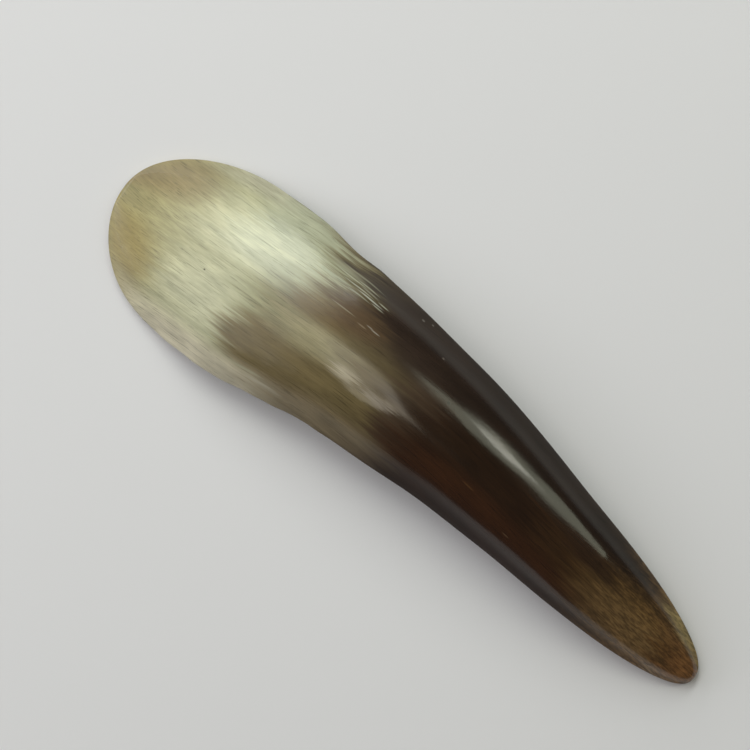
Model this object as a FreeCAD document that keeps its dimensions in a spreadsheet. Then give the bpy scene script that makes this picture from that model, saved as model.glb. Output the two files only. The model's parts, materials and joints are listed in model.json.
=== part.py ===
import FreeCAD, Part
import math
import os

import Sketcher
from FreeCAD import Placement, Rotation, Vector

# A shoehorn cut and pressed from one piece of cattle horn. It is a single solid:
# a thin scooped blade that slides behind the heel, a stiffer gutter-shaped shank,
# and a grip that ends in the horn's own solid, rounded tip.
#
# The solid is one loft through crescent-shaped sections that stand across its length.
# +X runs from the blade's end to the grip's tip and +Z is up, out of the convex back.
# The shoehorn lies hollow side down, on both corners of its blade and on its tip.

# The driving dimensions, in millimetres and degrees: alias, value, what it is.
SIZES = [
    ("length", 180.0, "overall length, blade end to grip tip"),
    ("blade_width", 45.7, "width across the widest part of the blade"),
    ("blade_station", 40.0, "distance of the widest part from the blade's end"),
    ("blade_nose", 32.0, "length of the blade's half-elliptical end"),
    ("nose_lean", 1.0, "how far the end of the nose lies to one side"),
    ("blade_crown", 8.8, "rise of the blade's back above its two edges"),
    ("blade_wall", 2.3, "wall on the crest of the blade"),
    ("blade_rim", 1.9, "thickness of the blade's rounded edge"),
    ("waist_width", 38.3, "width a third of the way from blade to grip"),
    ("waist_crown", 9.7, "rise of the back at the waist"),
    ("waist_wall", 2.9, "wall on the crest at the waist"),
    ("waist_rim", 2.4, "thickness of the rim at the waist"),
    ("waist_offset", 0.6, "how far the waist lies to one side"),
    ("shank_width", 31.8, "width two thirds of the way from blade to grip"),
    ("shank_crown", 10.6, "rise of the back at the shank"),
    ("shank_wall", 4.2, "wall on the crest at the shank"),
    ("shank_rim", 3.0, "thickness of the rim at the shank"),
    ("grip_width", 24.5, "width where the tip begins to taper"),
    ("grip_crown", 8.6, "rise of the back at the grip"),
    ("grip_wall", 5.6, "wall on the crest at the grip"),
    ("grip_rim", 3.8, "thickness of the rim at the grip"),
    ("grip_twist", 6.0, "turn of the grip's section about the length"),
    ("tip_length", 36.0, "length of the tapering tip"),
    ("tip_power", 0.41, "power of the taper: a smaller one is blunter"),
    ("tip_drop", 0.55, "share of the grip's depth at which the tip's point lies"),
    ("arch_radius", 270.0, "radius of the back's crest line, seen from the side"),
    ("arch_top", 98.0, "distance of that arch's highest point from the blade's end"),
    ("bend_angle", 9.3, "sideways turn of the grip against the blade"),
    ("bend_station", 97.0, "distance of that turn from the blade's end"),
    ("bend_blend", 10.0, "how softly the turn is spread along the length"),
]

# The sections with sizes of their own, evenly spaced from the widest part of the blade
# to where the tip begins.
NAMED_SECTIONS = ["blade", "waist", "shank", "grip"]

# The blade's end is half an ellipse, cut at these degrees of it, and the tip is cut at
# these shares of its length from the point. Both stand closer towards the end.
NOSE_DEGREES = [3, 9, 18, 32, 52, 78]
TIP_SHARES = [0.75, 0.5, 0.3, 0.16, 0.08, 0.032, 0.009, 0.001]

# The nose's lean fades out along it with this power of the ellipse's cosine.
LEAN_FADE = 6

# This trace of a hollow, in millimetres, keeps the underside's arc from becoming a
# straight line where the tip is solid.
HOLLOW_TRACE = 0.1

# The shoehorn is turned onto its lowest points this many times, because each turn
# moves them a little.
SETTLING_TURNS = 3

# Sketcher's numbers for the points of a curve, for the origin and for the two axes.
START, END, CENTRE = 1, 2, 3
ORIGIN = (-1, 1)
HORIZONTAL_AXIS = -1
VERTICAL_AXIS = -2


def add_sizes(doc):
    """The spreadsheet of driving dimensions, with one aliased cell for each."""
    sheet = doc.addObject("Spreadsheet::Sheet", "sizes")
    for row, (alias, value, note) in enumerate(SIZES, start=1):
        sheet.set(f"A{row}", alias)
        sheet.set(f"B{row}", str(value))
        sheet.set(f"C{row}", note)
        sheet.setAlias(f"B{row}", alias)
    return sheet


def crescent(half_width, crown, hollow, rim):
    """Back, left rim, hollow and right rim of a crescent, as arcs tangent to each other.

    The two rim circles stand on the horizontal axis. The back's crest is crown above the
    top of them, and the hollow's crest is hollow above the bottom of them.
    """
    edge = rim / 2
    across = half_width - edge
    back_radius = (across**2 + crown**2 + 2 * crown * edge) / (2 * crown)
    hollow_radius = (across**2 + hollow**2 - 2 * hollow * edge) / (2 * hollow)
    back_height = crown + edge - back_radius
    hollow_height = hollow - edge - hollow_radius
    back_spread = math.atan2(across, -back_height)
    hollow_spread = math.atan2(across, -hollow_height)
    up = math.pi / 2

    def arc(x, y, radius, start, end):
        circle = Part.Circle(Vector(x, y, 0), Vector(0, 0, 1), radius)
        return Part.ArcOfCircle(circle, start, end)

    return [
        arc(0, back_height, back_radius, up - back_spread, up + back_spread),
        arc(-across, 0, edge, up + back_spread, 3 * up + hollow_spread),
        arc(0, hollow_height, hollow_radius, up - hollow_spread, up + hollow_spread),
        arc(across, 0, edge, -up - hollow_spread, up - back_spread),
    ]


def add_section(body, name, place, shape):
    """One crescent sketch across the length, with every size an expression on the sheet.

    place holds the expressions of its station, side, height and twist, and shape those of
    its half_width, crown, hollow and rim.
    """
    sketch = body.newObject("Sketcher::SketchObject", name)
    across_plane = next(f for f in body.Origin.OriginFeatures if f.Role == "YZ_Plane")
    sketch.AttachmentSupport = [(across_plane, "")]
    sketch.MapMode = "FlatFace"
    sketch.setExpression("AttachmentOffset.Base.x", place["side"])
    sketch.setExpression("AttachmentOffset.Base.y", place["height"])
    sketch.setExpression("AttachmentOffset.Base.z", place["station"])
    sketch.setExpression("AttachmentOffset.Rotation.Angle", place["twist"])

    half_width, crown, hollow, rim = (
        float(sketch.evalExpression(shape[size]))
        for size in ("half_width", "crown", "hollow", "rim")
    )
    back, left_rim, scoop, right_rim = sketch.addGeometry(
        crescent(half_width, crown, hollow, rim), False
    )
    back_crest = sketch.addGeometry(Part.Point(Vector(0, crown + rim / 2, 0)), True)
    scoop_crest = sketch.addGeometry(Part.Point(Vector(0, hollow - rim / 2, 0)), True)

    sketch.addConstraint(
        [
            Sketcher.Constraint("Tangent", back, END, left_rim, START),
            Sketcher.Constraint("Tangent", left_rim, END, scoop, END),
            Sketcher.Constraint("Tangent", scoop, START, right_rim, START),
            Sketcher.Constraint("Tangent", right_rim, END, back, START),
            Sketcher.Constraint("Equal", left_rim, right_rim),
            Sketcher.Constraint("PointOnObject", right_rim, CENTRE, HORIZONTAL_AXIS),
            Sketcher.Constraint("PointOnObject", back, CENTRE, VERTICAL_AXIS),
            Sketcher.Constraint("PointOnObject", scoop, CENTRE, VERTICAL_AXIS),
            Sketcher.Constraint("PointOnObject", back_crest, START, VERTICAL_AXIS),
            Sketcher.Constraint("PointOnObject", back_crest, START, back),
            Sketcher.Constraint("PointOnObject", scoop_crest, START, VERTICAL_AXIS),
            Sketcher.Constraint("PointOnObject", scoop_crest, START, scoop),
        ]
    )

    def dimension(label, expression, *geometry):
        value = float(sketch.evalExpression(expression))
        index = sketch.addConstraint(Sketcher.Constraint(*geometry, value))
        sketch.renameConstraint(index, label)
        sketch.setExpression(f"Constraints.{label}", expression)

    edge = f"({shape['rim']}) / 2"
    across = f"({shape['half_width']}) - {edge}"
    height = f"({shape['crown']}) + {edge}"
    wall = f"({shape['crown']}) + ({shape['rim']}) - ({shape['hollow']})"
    dimension("rim_radius", edge, "Radius", right_rim)
    dimension("rim_across", across, "DistanceX", *ORIGIN, right_rim, CENTRE)
    dimension("back_height", height, "DistanceY", *ORIGIN, back_crest, START)
    dimension("wall", wall, "DistanceY", scoop_crest, START, back_crest, START)
    return sketch


def blade_shape(half_width, inset):
    """The section of the blade at a half width. inset is its distance from the blade's end.

    The back keeps the radius it has at the widest part, and the edge thins to a half round
    over the last millimetre.
    """
    radius = "((sizes.blade_width / 2)^2 + sizes.blade_crown^2) / (2 * sizes.blade_crown)"
    crown = f"({radius}) - sqrt(({radius})^2 - ({half_width})^2)"
    hollow_share = "(1 - (sizes.blade_wall - sizes.blade_rim) / sizes.blade_crown)"
    rounding = f"sqrt(1 - max(0; 1 - 2 * ({inset}) / sizes.blade_rim)^2)"
    return {
        "half_width": half_width,
        "crown": crown,
        "hollow": f"({crown}) * {hollow_share}",
        "rim": f"sizes.blade_rim * {rounding}",
    }


def named_shape(name):
    """The section at the blade, waist, shank or grip, from its own four sizes."""
    return {
        "half_width": f"sizes.{name}_width / 2",
        "crown": f"sizes.{name}_crown",
        "hollow": f"sizes.{name}_crown + sizes.{name}_rim - sizes.{name}_wall",
        "rim": f"sizes.{name}_rim",
    }


def tip_shape(taper, share):
    """The grip's section shrunk by the taper, with its hollow fading to almost flat.

    share is what is left of the tip's length. The fade starts and ends gently.
    """
    hollow = named_shape("grip")["hollow"]
    fade = f"({share}^2 * (3 - 2 * {share}))"
    return {
        "half_width": f"sizes.grip_width / 2 * ({taper})",
        "crown": f"sizes.grip_crown * ({taper})",
        "hollow": f"(({hollow}) * {fade} + {HOLLOW_TRACE}) * ({taper})",
        "rim": f"sizes.grip_rim * ({taper})",
    }


def place(station, depth, twist, offset="0"):
    """Where a section stands. depth is how far its rim line lies below the crest line."""
    arch = f"sqrt(sizes.arch_radius^2 - (({station}) - sizes.arch_top)^2) - sizes.arch_radius"
    past_bend = f"(({station}) - sizes.bend_station)"
    bend = f"({past_bend} + sqrt({past_bend}^2 + sizes.bend_blend^2)) / 2"
    return {
        "station": station,
        "side": f"{offset} - tan(sizes.bend_angle * 1 deg) * {bend}",
        "height": f"{arch} - ({depth})",
        "twist": twist,
    }


def add_sections(body):
    """Every section from the blade's end to the tip, in order."""
    sections = []

    def add(name, station, depth, twist, shape, offset="0"):
        standing = place(station, depth, twist, offset)
        sections.append(add_section(body, name, standing, shape))

    for number, degrees in enumerate(NOSE_DEGREES, start=1):
        inset = f"sizes.blade_nose * (1 - cos({degrees} deg))"
        shape = blade_shape(f"sizes.blade_width / 2 * sin({degrees} deg)", inset)
        station = f"sizes.blade_nose * (cos({NOSE_DEGREES[0]} deg) - cos({degrees} deg))"
        depth = f"{shape['crown']} + sizes.blade_rim / 2"
        offset = f"sizes.nose_lean * cos({degrees} deg)^{LEAN_FADE}"
        add(f"nose_section_{number}", station, depth, "0", shape, offset)

    for number, name in enumerate(NAMED_SECTIONS):
        way = f"{number} / {len(NAMED_SECTIONS) - 1}"
        run = "(sizes.length - sizes.tip_length - sizes.blade_station)"
        station = f"sizes.blade_station + {run} * {way}"
        depth = f"sizes.{name}_crown + sizes.{name}_rim / 2"
        twist = f"sizes.grip_twist * {way}"
        offset = "sizes.waist_offset" if name == "waist" else "0"
        add(f"{name}_section", station, depth, twist, named_shape(name), offset)

    full_depth = "(sizes.grip_crown + sizes.grip_rim / 2)"
    for number, share in enumerate(TIP_SHARES, start=1):
        station = f"sizes.length - sizes.tip_length * ({share} - {TIP_SHARES[-1]})"
        taper = f"{share}^sizes.tip_power"
        depth = f"{full_depth} * ({taper} + (1 - {taper}) * sizes.tip_drop)"
        add(f"tip_section_{number}", station, depth, "sizes.grip_twist", tip_shape(taper, share))
    return sections


def lowest_point(shape, low_x, high_x):
    """The lowest point of the stretch of a shape between two stations."""
    box = shape.BoundBox
    corner = Vector(low_x, box.YMin, box.ZMin)
    stretch = Part.makeBox(high_x - low_x, box.YLength, box.ZLength, corner).common(shape)
    below = Vector(box.XMin, box.YMin, box.ZMin - box.ZLength)
    table = Part.makePlane(box.XLength, box.YLength, below)
    return stretch.distToShape(table)[1][0][0]


def lay_on_table(body, middle):
    """Turns and moves the body so that it rests on its blade and its tip at Z = 0.

    The origin is then below the middle of its bounding box, on the table.
    """
    turn = Rotation()
    turned = body.Shape
    for _ in range(SETTLING_TURNS):
        blade = lowest_point(turned, turned.BoundBox.XMin, middle)
        tip = lowest_point(turned, middle, turned.BoundBox.XMax)
        pitch = math.degrees(math.atan2(tip.z - blade.z, tip.x - blade.x))
        turn = Rotation(Vector(0, 1, 0), pitch).multiply(turn)
        turned = body.Shape.transformed(Placement(Vector(), turn).Matrix)
    box = turned.optimalBoundingBox()
    centre = box.Center
    body.Placement = Placement(Vector(-centre.x, -centre.y, -box.ZMin), turn)


def check(doc, body):
    """Stops the build if an object of the document failed or the body isn't one solid."""
    for item in doc.Objects:
        if {"Invalid", "Error"} & set(item.State):
            raise RuntimeError(f"{item.Label} failed: {item.State}")
    shape = body.Shape
    if shape.isNull() or not shape.isValid() or len(shape.Solids) != 1:
        raise RuntimeError(f"{body.Label} is not one valid solid")


def main():
    doc = FreeCAD.newDocument("Shoehorn")
    sheet = add_sizes(doc)
    doc.recompute()

    body = doc.addObject("PartDesign::Body", "shoehorn")
    body.Label = "shoehorn"
    sections = add_sections(body)
    doc.recompute()
    loft = body.newObject("PartDesign::AdditiveLoft", "horn")
    loft.Profile = sections[0]
    loft.Sections = sections[1:]
    loft.Ruled = False
    doc.recompute()
    lay_on_table(body, float(sheet.get("arch_top")))
    doc.recompute()
    check(doc, body)

    os.makedirs("parts", exist_ok=True)
    body.Shape.exportStep(f"parts/{body.Label}.step")
    box = body.Shape.optimalBoundingBox()
    print(f"{body.Label}: {box.XLength:.2f} x {box.YLength:.2f} x {box.ZLength:.2f} mm")
    print(f"volume {body.Shape.Volume:.0f} mm3, lowest Z {box.ZMin:.3f} mm")


main()
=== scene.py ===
import json
import math

import bpy
import numpy as np
from mathutils import Matrix, Vector

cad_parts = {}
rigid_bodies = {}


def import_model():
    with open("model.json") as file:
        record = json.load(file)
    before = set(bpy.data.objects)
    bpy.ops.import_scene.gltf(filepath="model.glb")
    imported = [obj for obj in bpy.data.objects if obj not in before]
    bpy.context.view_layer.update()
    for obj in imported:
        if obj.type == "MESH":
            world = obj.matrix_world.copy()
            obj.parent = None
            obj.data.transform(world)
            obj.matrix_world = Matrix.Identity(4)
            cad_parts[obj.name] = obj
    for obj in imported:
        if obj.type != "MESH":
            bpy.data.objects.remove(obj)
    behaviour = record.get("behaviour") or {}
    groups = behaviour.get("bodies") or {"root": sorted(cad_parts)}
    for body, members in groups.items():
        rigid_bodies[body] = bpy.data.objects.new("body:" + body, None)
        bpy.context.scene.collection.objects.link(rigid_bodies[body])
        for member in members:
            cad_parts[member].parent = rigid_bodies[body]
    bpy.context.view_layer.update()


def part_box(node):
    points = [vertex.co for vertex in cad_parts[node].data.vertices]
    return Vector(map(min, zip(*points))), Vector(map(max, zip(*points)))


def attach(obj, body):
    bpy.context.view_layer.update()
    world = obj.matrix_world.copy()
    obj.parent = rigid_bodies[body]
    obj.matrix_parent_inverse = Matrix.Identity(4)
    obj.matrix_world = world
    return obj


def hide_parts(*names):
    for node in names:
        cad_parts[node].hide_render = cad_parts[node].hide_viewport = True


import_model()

# A horn shoehorn lying on a pale table, hollow side down: wide blade at -X, tip at +X.
# Lengths in the dictionaries are millimetres and turn into metres in one place, mm().


def mm(value):
    return value / 1000


def linear(hexColour, alpha=1.0):
    # sRGB hex to linear: the usual curve, a power of 2.4 above its short straight foot
    parts = [int(hexColour[i:i + 2], 16) / 255 for i in (1, 3, 5)]
    curved = [p / 12.92 if p <= 0.04045 else ((p + 0.055) / 1.055) ** 2.4 for p in parts]
    return (*curved, alpha)


def addNode(tree, kind, values=None, links=None, **settings):
    # one node with its settings, the values of its sockets and what is plugged into them
    node = tree.nodes.new(kind)
    for name, value in settings.items():
        setattr(node, name, value)
    for socket, value in (values or {}).items():
        node.inputs[socket].default_value = value
    for socket, source in (links or {}).items():
        tree.links.new(source, node.inputs[socket])
    return node


# shape of the horn
horn = {
    "length": 180.0,
    "noseLength": 32.0,         # the blade's end is half an ellipse this long
    "noseLean": 1.0,            # and its end lies a little to one side,
    "leanPower": 6,             # which dies out as this power of the ellipse's cosine
    "tipLength": 36.0,
    "tipPower": 0.41,           # smaller is blunter
    "tipDrop": 0.55,            # how far down the grip's depth the point lies
    "tipHollow": 0.1,           # what is left of the hollow there
    # sections: blade, waist, shank and grip
    "stations": [40.0, 74.67, 109.33, 144.0],
    "width": [45.7, 38.3, 31.8, 24.5],
    "crown": [8.8, 9.7, 10.6, 8.6],      # rise of the back above its edges
    "wall": [2.3, 2.9, 4.2, 5.6],
    "rim": [1.9, 2.4, 3.0, 3.8],         # thickness of the rounded edge
    "twist": [0.0, 2.0, 4.0, 6.0],       # degrees
    "aside": [0.0, 0.6, 0.0, 0.0],
    "archRadius": 270.0,
    "archTop": 98.0,
    "bendAngle": 9.3,
    "bendStation": 97.0,
    "bendBlend": 10.0,
    "layTurns": 4,              # turns it takes to settle on the table
    # rows along the nose, the middle and the tip, and columns round the section; the first
    # row's angle on the ellipse in degrees, and the cube root of the last row's share
    "rowsNose": 84,
    "rowsMiddle": 230,
    "rowsTip": 96,
    "columnsBack": 96,
    "columnsRim": 12,
    "columnsHollow": 72,
    "firstAngle": 1.5,
    "lastRoot": 0.03,
    # where the maker's file went: station, side (+1 is +Y), how far out, spread along the edge
    "edgeWaves": [
        (13.0, -1, 0.40, 8.0),
        (46.0, -1, 0.25, 5.0),
        (66.0, -1, -0.50, 9.0),
        (88.0, -1, 0.55, 11.0),
        (124.0, -1, -0.30, 12.0),
        (158.0, -1, 0.25, 14.0),
        (45.0, 1, 0.30, 4.5),
        (55.0, 1, -0.40, 5.0),
        (91.0, 1, -0.60, 14.0),
        (134.0, 1, -0.35, 12.0),
        (164.0, 1, 0.30, 14.0),
        (26.0, -1, -0.15, 3.0),
        (35.0, -1, -0.12, 2.5),
        (51.0, -1, -0.15, 2.5),
        (60.0, -1, 0.15, 2.0),
        (72.0, -1, 0.12, 2.5),
        (62.0, 1, 0.12, 2.5),
    ],
    # shallow hollows and swells that scraping leaves on the back: station, across (-1 to 1),
    # height, spread along and spread across
    "backWaves": [
        (75.5, -0.19, -0.38, 6.3, 0.15),
        (30.0, -0.35, 0.08, 12.0, 0.4),
        (128.0, -0.4, 0.08, 14.0, 0.5),
    ],
    # the scraper's flutes, and the length over which they wander by a share of their width
    "fluteHeight": 0.018,
    "fluteWidth": 5.0,
    "fluteWander": 47.0,
    "fluteSway": 0.3,
    # how far the fibres drag the colours: little at the nose, all along the body, and twice
    # as much at the +Y edge where the dark sets in (station, spread along, how much more)
    "dragNose": 0.15,
    "dragBody": 0.9,
    "dragRise": (15.0, 45.0),
    "dragEdge": (56.0, 16.0, 0.9),
    "dragAcross": (0.25, 0.75),
    "grainDepth": 0.15,         # how much height counts in the grain, against across
}


def through(x, stations, values, firstSlope, lastSlope):
    # a smooth cubic through the values: each inner slope is that of the chord past it
    s = np.asarray(stations)
    v = np.asarray(values, float)
    slopes = np.concatenate([[firstSlope], (v[2:] - v[:-2]) / (s[2:] - s[:-2]), [lastSlope]])
    i = np.clip(np.searchsorted(s, x) - 1, 0, len(s) - 2)
    h = s[i + 1] - s[i]
    t = np.clip((x - s[i]) / h, 0, 1)
    rise = (1 + 2 * t) * (1 - t) ** 2 * v[i] + t * t * (3 - 2 * t) * v[i + 1]
    return rise + h * (t * (1 - t) ** 2 * slopes[i] - t * t * (1 - t) * slopes[i + 1])


def hornRows(p):
    # stations of the rows: even in the ellipse's angle along the nose, even along the
    # middle, and even in the cube root of what is left along the tip
    angle = np.linspace(math.radians(p["firstAngle"]), math.pi / 2, p["rowsNose"])
    nose = p["noseLength"] * (1 - np.cos(angle))
    tipStart = p["length"] - p["tipLength"]
    middle = np.linspace(p["noseLength"], tipStart, p["rowsMiddle"] + 2)[1:-1]
    left = np.linspace(1, p["lastRoot"], p["rowsTip"]) ** 3
    return np.concatenate([nose, middle, p["length"] - p["tipLength"] * left])


def hornLaws(p, s):
    # half width, crown, hollow, rim, twist, side and height of the rim line, row by row.
    # Nose: half an ellipse of a barrel-shaped blade whose edge thins to a half round.
    # Middle: smooth cubics through the four sections. Tip: all sizes shrink together by
    # a power of what is left of the length, and the hollow fades out.
    stations = [p["noseLength"]] + p["stations"]
    blade = {k: p[k][0] for k in ("width", "crown", "wall", "rim", "twist", "aside")}
    left = np.clip((p["length"] - s) / p["tipLength"], 0, 1)
    taper = left ** p["tipPower"]
    inNose = s < p["noseLength"]
    inTip = left < 1

    def middle(name, tipSlope=0.0):
        return through(s, stations, [blade[name]] + p[name], 0.0, tipSlope)

    shrink = -p["tipPower"] / p["tipLength"]
    cosine = np.clip(1 - s / p["noseLength"], 0, 1)
    half = blade["width"] / 2
    noseHalf = half * np.sqrt(1 - cosine**2)
    backRadius = (half**2 + blade["crown"] ** 2) / (2 * blade["crown"])
    noseCrown = backRadius - np.sqrt(backRadius**2 - noseHalf**2)
    noseRim = blade["rim"] * np.sqrt(1 - np.clip(1 - 2 * s / blade["rim"], 0, 1) ** 2)
    noseShare = 1 - (blade["wall"] - blade["rim"]) / blade["crown"]

    grip = {k: p[k][-1] for k in ("width", "crown", "wall", "rim")}
    gripHollow = grip["crown"] + grip["rim"] - grip["wall"]
    fade = left**2 * (3 - 2 * left)
    midHollow = [c + r - w for c, r, w in zip(p["crown"], p["rim"], p["wall"])]
    midHollow = through(s, stations, [midHollow[0]] + midHollow, 0.0, shrink * gripHollow)

    def pick(nose, mid, tip):
        return np.where(inNose, nose, np.where(inTip, tip, mid))

    halfWidth = pick(noseHalf, middle("width", shrink * grip["width"]) / 2, grip["width"] / 2 * taper)
    crown = pick(noseCrown, middle("crown", shrink * grip["crown"]), grip["crown"] * taper)
    rim = pick(noseRim, middle("rim", shrink * grip["rim"]), grip["rim"] * taper)
    hollow = pick(noseCrown * noseShare, midHollow, (gripHollow * fade + p["tipHollow"]) * taper)
    fullDepth = grip["crown"] + grip["rim"] / 2
    depth = crown + np.where(inNose, blade["rim"], rim) / 2
    depth = np.where(inTip, fullDepth * (taper + (1 - taper) * p["tipDrop"]), depth)
    twist = np.radians(through(s, stations, [0.0] + p["twist"], 0.0, 0.0))
    aside = through(s, stations, [0.0] + p["aside"], 0.0, 0.0)
    aside = aside + p["noseLean"] * cosine ** p["leanPower"]
    past = s - p["bendStation"]
    bend = (past + np.sqrt(past**2 + p["bendBlend"] ** 2)) / 2
    side = aside - math.tan(math.radians(p["bendAngle"])) * bend
    arch = np.sqrt(p["archRadius"] ** 2 - (s - p["archTop"]) ** 2) - p["archRadius"]
    return halfWidth, crown, hollow, rim, twist, side, arch - depth


def crescent(p, halfWidth, crown, hollow, rim):
    # each row's section, as four arcs tangent to each other: the back, a half-round rim,
    # the hollow and the other rim. An arc is its centre plus its radius times the sine
    # and cosine of an angle that runs evenly from one joint to the next.
    edge = rim / 2
    across = halfWidth - edge
    backRadius = (across**2 + crown**2 + 2 * crown * edge) / (2 * crown)
    hollowRadius = (across**2 + hollow**2 - 2 * hollow * edge) / (2 * hollow)
    backHeight = crown + edge - backRadius
    hollowHeight = hollow - edge - hollowRadius
    backSpread = np.arctan2(across, -backHeight)
    hollowSpread = np.arctan2(across, -hollowHeight)
    none = np.zeros_like(edge)
    arcs = [
        (none, backHeight, backRadius, -backSpread, backSpread, p["columnsBack"]),
        (across, none, edge, backSpread, math.pi + hollowSpread, p["columnsRim"]),
        (none, hollowHeight, hollowRadius, hollowSpread, -hollowSpread, p["columnsHollow"]),
        (-across, none, edge, -math.pi - hollowSpread, -backSpread, p["columnsRim"]),
    ]
    y, z = [], []
    for centreY, centreZ, radius, start, end, columns in arcs:
        way = np.linspace(0, 1, columns, endpoint=False)
        angle = start[:, None] + (end - start)[:, None] * way
        y.append(centreY[:, None] + radius[:, None] * np.sin(angle))
        z.append(centreZ[:, None] + radius[:, None] * np.cos(angle))
    return np.hstack(y), np.hstack(z)


def layDown(x, y, z, box, turns):
    # turned about Y onto the lowest points of its two halves, then moved into the box
    middle = (x.min() + x.max()) / 2
    for _ in range(turns):
        blade = np.argmin(np.where(x < middle, z, np.inf))
        tip = np.argmin(np.where(x >= middle, z, np.inf))
        rise = z.flat[tip] - z.flat[blade]
        pitch = math.atan2(rise, x.flat[tip] - x.flat[blade])
        c, s = math.cos(pitch), math.sin(pitch)
        x, z = c * x + s * z, c * z - s * x
    low, high = box
    x = x - (x.min() + x.max()) / 2 + (low[0] + high[0]) / 2
    y = y - (y.min() + y.max()) / 2 + (low[1] + high[1]) / 2
    return x, y, z - z.min() + low[2]


def makeHorn(p, box):
    s = hornRows(p)
    halfWidth, crown, hollow, rim, twist, side, height = hornLaws(p, s)
    y, z = crescent(p, halfWidth, crown, hollow, rim)
    along = np.broadcast_to(s[:, None], y.shape)
    across = np.clip(y / halfWidth[:, None], -1, 1)
    grain = np.stack([along, y, p["grainDepth"] * z], -1)

    # the waves: bells of station, and of across where they lie on the back
    onBack = np.zeros(y.shape[1])
    onBack[:p["columnsBack"]] = 1
    for station, edgeSide, out, spread in p["edgeWaves"]:
        bell = np.exp(-(((along - station) / spread) ** 2))
        y = y + edgeSide * out * bell * np.clip(edgeSide * across, 0, 1) ** 2
    for station, place, rise, spread, width in p["backWaves"]:
        bell = np.exp(-(((along - station) / spread) ** 2) - ((across - place) / width) ** 2)
        z = z + rise * bell * onBack * np.sqrt(1 - across**2)

    # the flutes: a sine of the way across, whose phase is another sine of the station
    sway = p["fluteSway"] * np.sin(2 * math.pi * along / p["fluteWander"])
    z = z + p["fluteHeight"] * onBack * np.sin(2 * math.pi * (y / p["fluteWidth"] + sway))

    # twist about the rim line, then carried along the arch and the bend
    c, t = np.cos(twist)[:, None], np.sin(twist)[:, None]
    y, z = c * y - t * z, t * y + c * z
    y, z = y + side[:, None], z + height[:, None]
    x, y, z = layDown(mm(along), mm(y), mm(z), box, p["layTurns"])

    rows, columns = x.shape
    grid = np.arange(rows * columns).reshape(rows, columns)
    nextColumn = np.roll(grid, -1, axis=1)
    quads = np.stack([grid[:-1], grid[1:], nextColumn[1:], nextColumn[:-1]], -1).reshape(-1, 4)
    points = np.stack([x, y, z], -1).reshape(-1, 3)

    # a fan of triangles round the middle of its last row closes each end
    ends = [points[grid[0]].mean(0), points[grid[-1]].mean(0)]
    hub = np.full(columns, len(points))
    noseFan = np.stack([hub, grid[0], nextColumn[0]], -1)
    tipFan = np.stack([hub + 1, nextColumn[-1], grid[-1]], -1)
    faces = quads.tolist() + noseFan.tolist() + tipFan.tolist()

    mesh = bpy.data.meshes.new("hornBody")
    mesh.from_pydata(np.vstack([points, ends]).tolist(), [], faces)
    mesh.polygons.foreach_set("use_smooth", np.ones(len(mesh.polygons), bool))
    # drag: a straight rise along the nose, and a bell of station that only counts far out
    pull = np.interp(along, p["dragRise"], (p["dragNose"], p["dragBody"]))
    station, spread, more = p["dragEdge"]
    farOut = np.interp(across, p["dragAcross"], (0, 1))
    pull = pull + more * farOut * np.exp(-(((along - station) / spread) ** 2))
    zone = np.stack([along, across, pull], -1)
    # the same for the small marks, which are on the back only
    mark = np.stack([along, across, np.broadcast_to(1 - onBack, y.shape)], -1)
    for name, values in (("grain", grain), ("zone", zone), ("mark", mark)):
        values = values.reshape(-1, 3)
        capped = np.vstack([values, values[grid[0]].mean(0), values[grid[-1]].mean(0)])
        layer = mesh.attributes.new(name, "FLOAT_VECTOR", "POINT")
        layer.data.foreach_set("vector", capped.astype(np.float32).ravel())
    mesh.update()
    piece = bpy.data.objects.new("horn_shoehorn", mesh)
    bpy.context.scene.collection.objects.link(piece)
    return piece


shoehorn = makeHorn(horn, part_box("shoehorn"))
print("horn body:", len(shoehorn.data.polygons), "faces")


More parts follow.
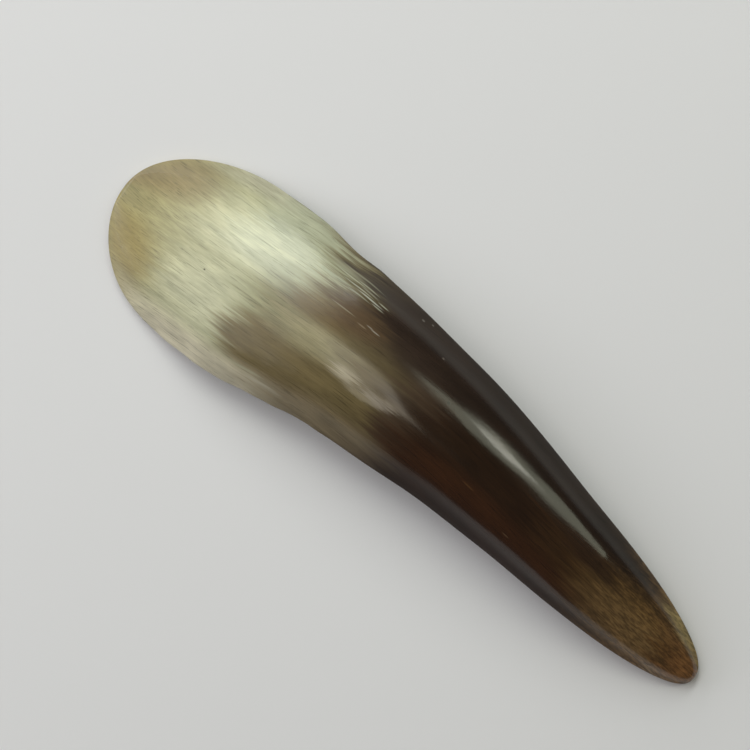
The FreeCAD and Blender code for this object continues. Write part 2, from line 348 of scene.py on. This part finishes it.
# Polished cattle horn: keratin in long fibres, cut and pressed hot, scraped and sanded
# lengthwise, then buffed. The eye sees cloudy cream running into dark brown in streaks,
# under one clear gloss with faint lengthwise scratches. IOR 1.54 is keratin's.
hornFinish = {
    "ior": 1.54,
    "roughBlade": 0.2,
    "roughShank": 0.09,
    "shankRange": (40.0, 75.0),     # stations over which blade turns into shank
    # the edges are rounded by hand and never see the wheel: they stay dull, on the shank most
    "roughBladeEdge": 0.45,
    "roughShankEdge": 1.0,
    "edgeRange": (0.62, 0.95),
    # colour down the middle of the back, station in mm
    "colours": [
        (0, "#8D845A"), (7, "#A0976A"), (14, "#A9A37B"), (22, "#B7B490"), (34, "#B9B895"),
        (40, "#9C9A79"), (45, "#85805F"), (56, "#72674A"), (66, "#6C6046"), (75, "#5C5038"),
        (84, "#46382A"), (93, "#2C1D11"), (101, "#25170A"), (122, "#28180B"), (136, "#382512"),
        (148, "#523C20"), (162, "#644B2B"), (169, "#5E4428"), (178, "#78532F"),
    ],
    # stains over that, with painted highlights and painted edge reflections among them: station,
    # across (-1 to 1), half length, half width, softness of the border, strength, colour
    "stainsAndPaintedLight": [
        (9, -0.65, 8, 0.42, 0.6, 0.75, "#917F47"),
        (8, 0.66, 11, 0.34, 0.6, 0.7, "#86734C"),
        # painted reflection: a pale rim along the +Y edge of the blade, in place of the gloss the dulled
        # edge no longer shows
        (33, 0.97, 16, 0.14, 0.6, 0.7, "#A5A18E"),
        # partly the cream running out along the +Y edge, partly a painted highlight that lightens the
        # core of the blade's gloss
        (42, 0.68, 9.5, 0.38, 0.6, 1.0, "#B6B89C"),
        # painted highlight: widens the blade's gloss towards the middle of the back
        (35, 0.40, 8, 0.17, 0.6, 0.9, "#C2C3A4"),
        (30, -0.45, 9, 0.4, 0.6, 0.6, "#C8C7A8"),
        (59, -0.50, 21, 0.36, 0.2, 0.95, "#706242"),
        (38, -0.94, 24, 0.18, 0.6, 0.9, "#C9C1AA"),
        (69, -0.85, 17, 0.2, 0.6, 0.8, "#7A6C53"),
        (56, 0.22, 8, 0.16, 0.5, 0.8, "#736040"),
        # painted sheen: a lighter band over the olive horn where the middle softbox's glint lies
        (57, -0.09, 10.5, 0.17, 0.6, 0.9, "#928A6A"),
        # painted glint: pale strokes along the lower edge of the middle softbox's V-shaped reflection
        (69, -0.21, 3.2, 0.07, 0.8, 0.6, "#B3AA96"),
        (79, -0.24, 3.0, 0.06, 0.8, 0.5, "#8F8577"),
        (80, 0.72, 17, 0.46, 0.6, 1.0, "#362A22"),
        (66, 0.93, 7, 0.16, 0.6, 0.8, "#3A3028"),
        (64, 0.41, 8, 0.20, 0.5, 0.85, "#56432F"),
        (118, 0.72, 44, 0.40, 0.5, 0.9, "#251A12"),
        (117, -0.58, 30, 0.32, 0.6, 0.9, "#3A2110"),
        (123, -0.88, 32, 0.24, 0.6, 0.9, "#26140A"),
        (142, 0.26, 9, 0.2, 0.6, 0.8, "#2A1B10"),
        (148, 0.76, 14, 0.22, 0.6, 0.7, "#1C120B"),
        (157, -0.3, 13, 0.5, 0.6, 0.5, "#70593A"),
        (169, -0.2, 3, 0.5, 0.6, 0.6, "#553A1C"),
        # partly the tip's own lighter horn, partly a painted reflection on both edges that the dulled
        # edges no longer show
        (173, 0.90, 7, 0.25, 0.6, 0.8, "#85754B"),
        (174, -0.90, 6, 0.25, 0.6, 0.7, "#857660"),
        (176, -0.2, 5, 0.7, 0.6, 0.7, "#74502E"),
    ],
    # pale fibres that run out into the dark, pits and nicks, given the same way
    "marks": [
        (54, 0.77, 5.0, 0.030, 0.8, 0.5, "#B0B29A"),
        (59, 0.81, 6.0, 0.009, 0.5, 0.5, "#9C9A84"),
        (64, 0.665, 3.2, 0.008, 0.5, 0.8, "#B4B6A8"),
        (60, 0.69, 4.0, 0.007, 0.5, 0.8, "#A9AA98"),
        (63, 0.72, 2.4, 0.007, 0.5, 0.6, "#9C9C8C"),
        (62, 0.755, 3.0, 0.007, 0.5, 0.7, "#A4A592"),
        (57, 0.735, 4.5, 0.007, 0.5, 0.7, "#B4B6A0"),
        (67.5, 0.70, 1.4, 0.006, 0.5, 0.8, "#A4A592"),
        (61, 0.625, 3.0, 0.007, 0.5, 0.6, "#A4A592"),
        (66.5, 0.64, 1.6, 0.007, 0.5, 0.8, "#9C9C8C"),
        (69.5, 0.40, 1.2, 0.007, 0.5, 0.6, "#A9A294"),
        (67.8, 0.41, 0.9, 0.006, 0.5, 0.5, "#A9A294"),
        (66, 0.365, 1.2, 0.008, 0.5, 0.5, "#93836C"),
        (60, 0.40, 3.0, 0.007, 0.5, 0.6, "#9A917A"),
        (54, -0.83, 4.0, 0.014, 0.5, 0.7, "#B0A894"),
        (57, -0.845, 3.0, 0.010, 0.5, 0.7, "#9C9480"),
        (50, -0.77, 4.0, 0.012, 0.5, 0.6, "#A9A68C"),
        (77, 0.90, 0.4, 0.010, 0.5, 0.5, "#8A847C"),
        (79.5, 0.94, 0.3, 0.008, 0.5, 0.5, "#8A847C"),
        (86, 0.72, 0.3, 0.010, 0.5, 0.5, "#8A8076"),
        (122, -0.50, 0.9, 0.010, 0.5, 0.5, "#6A5440"),
        (108, -0.33, 1.6, 0.010, 0.5, 0.5, "#5A3E22"),
        (28, -0.15, 0.25, 0.009, 0.5, 0.8, "#3F3A28"),
        (93, 0.33, 0.4, 0.020, 0.5, 0.8, "#16100C"),
    ],
    # how thick a mark is, where the back counts as 0 and the rims and the hollow as 1
    "markDepth": 0.1,
    # patterns along the grain: width and length in mm, octaves of detail, and a place to start
    "bands": (1.6, 36.0, 2.0, 3.1),
    "fibres": (0.3, 8.0, 3.0, 7.7),
    "clouds": (3.4, 11.0, 3.0, 5.2),
    "flecks": (0.45, 2.0, 2.0, 9.4),
    "scratches": (0.24, 8.0, 2.0, 1.3),     # real ones are finer: as coarse as they need to show
    "patternRough": 0.6,
    # how far the bands and the fibres drag the colours, in mm from end to end
    "bandDrag": 18.0,
    "fibreDrag": 13.0,
    # what each pattern does to the colour: its range, and what it multiplies by at both ends
    "fibreTone": (0.3, 0.7, 0.89, 1.11),
    "cloudTone": (0.3, 0.7, 0.87, 1.13),
    "scratchTone": (0.6, 0.65, 1.0, 0.66),      # dirt sits in the scratches
    "fleckTone": (0.35, 0.66, -0.25, 0.45),     # what it adds, in the tip only
    "fleckRange": (138.0, 156.0),
    # relief in mm at full strength, its strength on blade and shank, how many times deeper
    # than a scratch the wheel's orange peel is, and how much a scratch adds to the roughness
    "relief": 0.03,
    "reliefBlade": 0.35,
    "reliefShank": 0.2,
    "peel": 2.0,
    "scratchRough": 0.08,
}


def hornMaterial(f):
    material = bpy.data.materials.new("polishedCattleHorn")
    material.use_nodes = True
    tree = material.node_tree
    tree.nodes.clear()
    grain = addNode(tree, "ShaderNodeAttribute", attribute_name="grain").outputs["Vector"]
    zone = addNode(tree, "ShaderNodeAttribute", attribute_name="zone").outputs["Vector"]
    onBack = addNode(tree, "ShaderNodeAttribute", attribute_name="mark").outputs["Vector"]
    parts = addNode(tree, "ShaderNodeSeparateXYZ", links={0: zone})
    station, pull = parts.outputs["X"], parts.outputs["Z"]
    limits = ("From Min", "From Max", "To Min", "To Max")

    def streaks(width, length, detail, seed):
        scale = (1 / length, 1 / width, 1 / width)
        place = addNode(
            tree, "ShaderNodeMapping", {"Scale": scale, "Location": (seed, seed, seed)}, {"Vector": grain}
        )
        return addNode(
            tree, "ShaderNodeTexNoise",
            {"Scale": 1.0, "Detail": detail, "Roughness": f["patternRough"]},
            {"Vector": place.outputs[0]},
        ).outputs["Fac"]

    def paint(colour, vector, patch):
        # a patch laid over a colour, whether a stain, a mark or a painted highlight: full inside its
        # ellipse, fading out across its border.
        # The third axis is thin, so that a mark stays on the back, where it reads 0.
        at, across, length, width, softness, strength, tint = patch
        place = addNode(
            tree, "ShaderNodeMapping",
            {"Location": (at, across, 0), "Scale": (length, width, f["markDepth"])},
            {"Vector": vector}, vector_type="TEXTURE",
        )
        away = addNode(tree, "ShaderNodeVectorMath", links={0: place.outputs[0]}, operation="LENGTH")
        border = (1 - softness, 1 + softness, strength, 0.0)
        amount = addNode(
            tree, "ShaderNodeMapRange", dict(zip(limits, border)),
            {"Value": away.outputs["Value"]}, interpolation_type="SMOOTHSTEP",
        ).outputs[0]
        return addNode(
            tree, "ShaderNodeMix", {7: linear(tint)}, {0: amount, 6: colour}, data_type="RGBA"
        ).outputs[2]

    bands = streaks(*f["bands"])
    clouds = streaks(*f["clouds"])
    fibres = streaks(*f["fibres"])
    flecks = streaks(*f["flecks"])
    scratches = streaks(*f["scratches"])

    # the fibres drag the colours along the length
    longDrag, shortDrag = [
        addNode(
            tree, "ShaderNodeMapRange", {"To Min": -length / 2, "To Max": length / 2}, {"Value": pattern}
        ).outputs[0]
        for pattern, length in ((bands, f["bandDrag"]), (fibres, f["fibreDrag"]))
    ]
    drag = addNode(tree, "ShaderNodeMath", links={0: longDrag, 1: shortDrag}, operation="ADD")
    drag = addNode(
        tree, "ShaderNodeMath", links={0: drag.outputs[0], 1: pull, 2: station}, operation="MULTIPLY_ADD"
    ).outputs[0]
    dragged = addNode(
        tree, "ShaderNodeCombineXYZ", links={"X": drag, "Y": parts.outputs["Y"]}
    ).outputs[0]

    share = addNode(tree, "ShaderNodeMath", {1: 1 / horn["length"]}, {0: drag}, operation="MULTIPLY")
    ramp = addNode(tree, "ShaderNodeValToRGB", links={"Fac": share.outputs[0]})
    stops = ramp.color_ramp.elements
    stops.remove(stops[1])
    stops[0].position = 0
    stops[0].color = linear(f["colours"][0][1])
    for at, tint in f["colours"][1:]:
        stops.new(at / horn["length"]).color = linear(tint)
    colour = ramp.outputs["Color"]
    # the stains, with the painted highlights and painted edge reflections among them
    for patch in f["stainsAndPaintedLight"]:
        colour = paint(colour, dragged, patch)

    # the smooth steps outside the patches: what each reads, the range it reads, and its values
    # at both ends
    outward = addNode(tree, "ShaderNodeMath", links={0: parts.outputs["Y"]}, operation="ABSOLUTE")
    steps = {
        "fibred": (fibres, *f["fibreTone"]),
        "cloudy": (clouds, *f["cloudTone"]),
        "dirty": (scratches, *f["scratchTone"]),
        "flecked": (flecks, *f["fleckTone"]),
        "inTip": (drag, *f["fleckRange"], 0.0, 1.0),
        "atEdge": (outward.outputs[0], *f["edgeRange"], 0.0, 1.0),
        "rough": (station, *f["shankRange"], f["roughBlade"], f["roughShank"]),
        "roughEdge": (station, *f["shankRange"], f["roughBladeEdge"], f["roughShankEdge"]),
        "relief": (station, *f["shankRange"], f["reliefBlade"], f["reliefShank"]),
    }
    step = {
        name: addNode(
            tree, "ShaderNodeMapRange", dict(zip(limits, values)), {"Value": source},
            interpolation_type="SMOOTHSTEP",
        ).outputs[0]
        for name, (source, *values) in steps.items()
    }

    # cloudy all over, each fibre a little lighter or darker than the next, dirt in the
    # scratches, and flecks towards the tip
    tipFlecks = addNode(
        tree, "ShaderNodeMath", {2: 1.0}, {0: step["flecked"], 1: step["inTip"]},
        operation="MULTIPLY_ADD",
    ).outputs[0]
    for tone in (step["fibred"], step["cloudy"], step["dirty"], tipFlecks):
        colour = addNode(
            tree, "ShaderNodeVectorMath", links={0: colour, "Scale": tone}, operation="SCALE"
        ).outputs[0]
    for mark in f["marks"]:
        colour = paint(colour, onBack, mark)

    # gloss: dull at the edges, scratched on the blade, brightest on the shank
    rough = addNode(
        tree, "ShaderNodeMix", links={0: step["atEdge"], 2: step["rough"], 3: step["roughEdge"]}
    )
    rough = addNode(
        tree, "ShaderNodeMath", {1: f["scratchRough"]}, {0: scratches, 2: rough.outputs[0]},
        operation="MULTIPLY_ADD",
    )
    # relief: the scratches over the wheel's orange peel, fainter on the shank
    relief = addNode(
        tree, "ShaderNodeMath", {1: f["peel"]}, {0: flecks, 2: scratches}, operation="MULTIPLY_ADD"
    )
    bump = addNode(
        tree, "ShaderNodeBump", {"Distance": mm(f["relief"])},
        {"Height": relief.outputs[0], "Strength": step["relief"]},
    )
    shader = addNode(
        tree, "ShaderNodeBsdfPrincipled", {"IOR": f["ior"], "Metallic": 0.0},
        {"Base Color": colour, "Roughness": rough.outputs[0], "Normal": bump.outputs[0]},
    )
    addNode(tree, "ShaderNodeOutputMaterial", links={"Surface": shader.outputs[0]})
    return material


shoehorn.data.materials.append(hornMaterial(hornFinish))
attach(shoehorn, "root")
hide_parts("shoehorn")
print("polished horn laid on the body")


# size in metres
table = {"size": 6.0, "colour": "#E4E3E6", "rough": 0.9}

studio = {
    "distance": 1.2,            # metres from the shoehorn to each softbox
    # the way to each softbox as degrees along +X and +Y off straight up, its width and
    # height in metres, how far it is rolled, in degrees, its brightness and its tint
    "softboxes": [
        ("bladeBox", (-34.0, 37.4), (0.30, 1.06), 6.0, 3.8, "#F8FFF4"),
        ("gripBox", (22.0, 40.0), (1.02, 0.34), 34.0, 1.7, "#FAFFE4"),
        ("gripSpot", (20.0, 40.5), (0.26, 0.12), 39.0, 4.5, "#FFFFF0"),
        ("middleBox", (-12.6, -11.5), (0.19, 0.74), 15.0, 1.9, "#FFF8E4"),
        ("endBanner", (-33.0, 0.0), (0.45, 3.4), 0.0, 1.3, "#FFFFFF"),
        ("lowBox", (-66.0, 0.0), (0.5, 2.2), 0.0, 2.8, "#FAFAFD"),
    ],
    # the room is dim as a light, so that the dark horn stays dark, and pale where it is seen
    "room": "#F1F1F0",
    "roomLight": 0.08,
    "roomSeen": 0.8,
    "exposure": 0.1,
}

# straight down, the piece turned in the frame: metres, but for the turn in degrees and the
# camera's sensor in mm
view = {
    "turn": 36.0,
    "aim": (-0.0147, 0.0001),
    "across": 0.1788,
    "distance": 0.62,
    "rimHeight": 0.006,
    "sensor": 36.0,
}


def paleTable(t):
    # white laminate, matt from fine texture
    mesh = bpy.data.meshes.new("table")
    h = t["size"] / 2
    mesh.from_pydata([(-h, -h, 0), (h, -h, 0), (h, h, 0), (-h, h, 0)], [], [(0, 1, 2, 3)])
    floor = bpy.data.objects.new("table", mesh)
    bpy.context.scene.collection.objects.link(floor)
    material = bpy.data.materials.new("mattLaminate")
    material.use_nodes = True
    shader = material.node_tree.nodes["Principled BSDF"]
    shader.inputs["Base Color"].default_value = linear(t["colour"])
    shader.inputs["Roughness"].default_value = t["rough"]
    mesh.materials.append(material)
    return floor


def addSoftbox(name, way, size, roll, brightness, tint):
    # a flat rectangle facing the shoehorn; its power is pi times area times brightness
    direction = Vector([math.tan(math.radians(a)) for a in way] + [1]).normalized()
    across = Vector((0, 1, 0)).cross(direction).normalized()
    up = direction.cross(across)
    turn = math.radians(roll)
    c, s = math.cos(turn), math.sin(turn)
    across, up = across * c + up * s, up * c - across * s
    lamp = bpy.data.lights.new(name, "AREA")
    lamp.shape = "RECTANGLE"
    lamp.size, lamp.size_y = size
    lamp.color = linear(tint)[:3]
    lamp.energy = math.pi * size[0] * size[1] * brightness
    box = bpy.data.objects.new(name, lamp)
    box.matrix_world = Matrix((across, up, direction)).transposed().to_4x4()
    box.location = direction * studio["distance"]
    bpy.context.scene.collection.objects.link(box)


floor = paleTable(table)
for box in studio["softboxes"]:
    addSoftbox(*box)

world = bpy.data.worlds.new("room")
world.use_nodes = True
bpy.context.scene.world = world
sky = world.node_tree.nodes["Background"]
sky.inputs["Color"].default_value = linear(studio["room"])
seen = addNode(world.node_tree, "ShaderNodeLightPath").outputs["Is Camera Ray"]
strength = addNode(
    world.node_tree, "ShaderNodeMapRange",
    {"To Min": studio["roomLight"], "To Max": studio["roomSeen"]}, {"Value": seen},
)
world.node_tree.links.new(sky.inputs["Strength"], strength.outputs[0])

camera = bpy.data.cameras.new("camera")
camera.sensor_width = view["sensor"]
camera.lens = camera.sensor_width * view["distance"] / view["across"]
eye = bpy.data.objects.new("camera", camera)
eye.location = (*view["aim"], view["distance"] + view["rimHeight"])
eye.rotation_euler = (0, 0, math.radians(view["turn"]))
bpy.context.scene.collection.objects.link(eye)
bpy.context.scene.camera = eye
bpy.context.scene.view_settings.view_transform = "Standard"
bpy.context.scene.view_settings.exposure = studio["exposure"]
print("table, softboxes and camera in place")
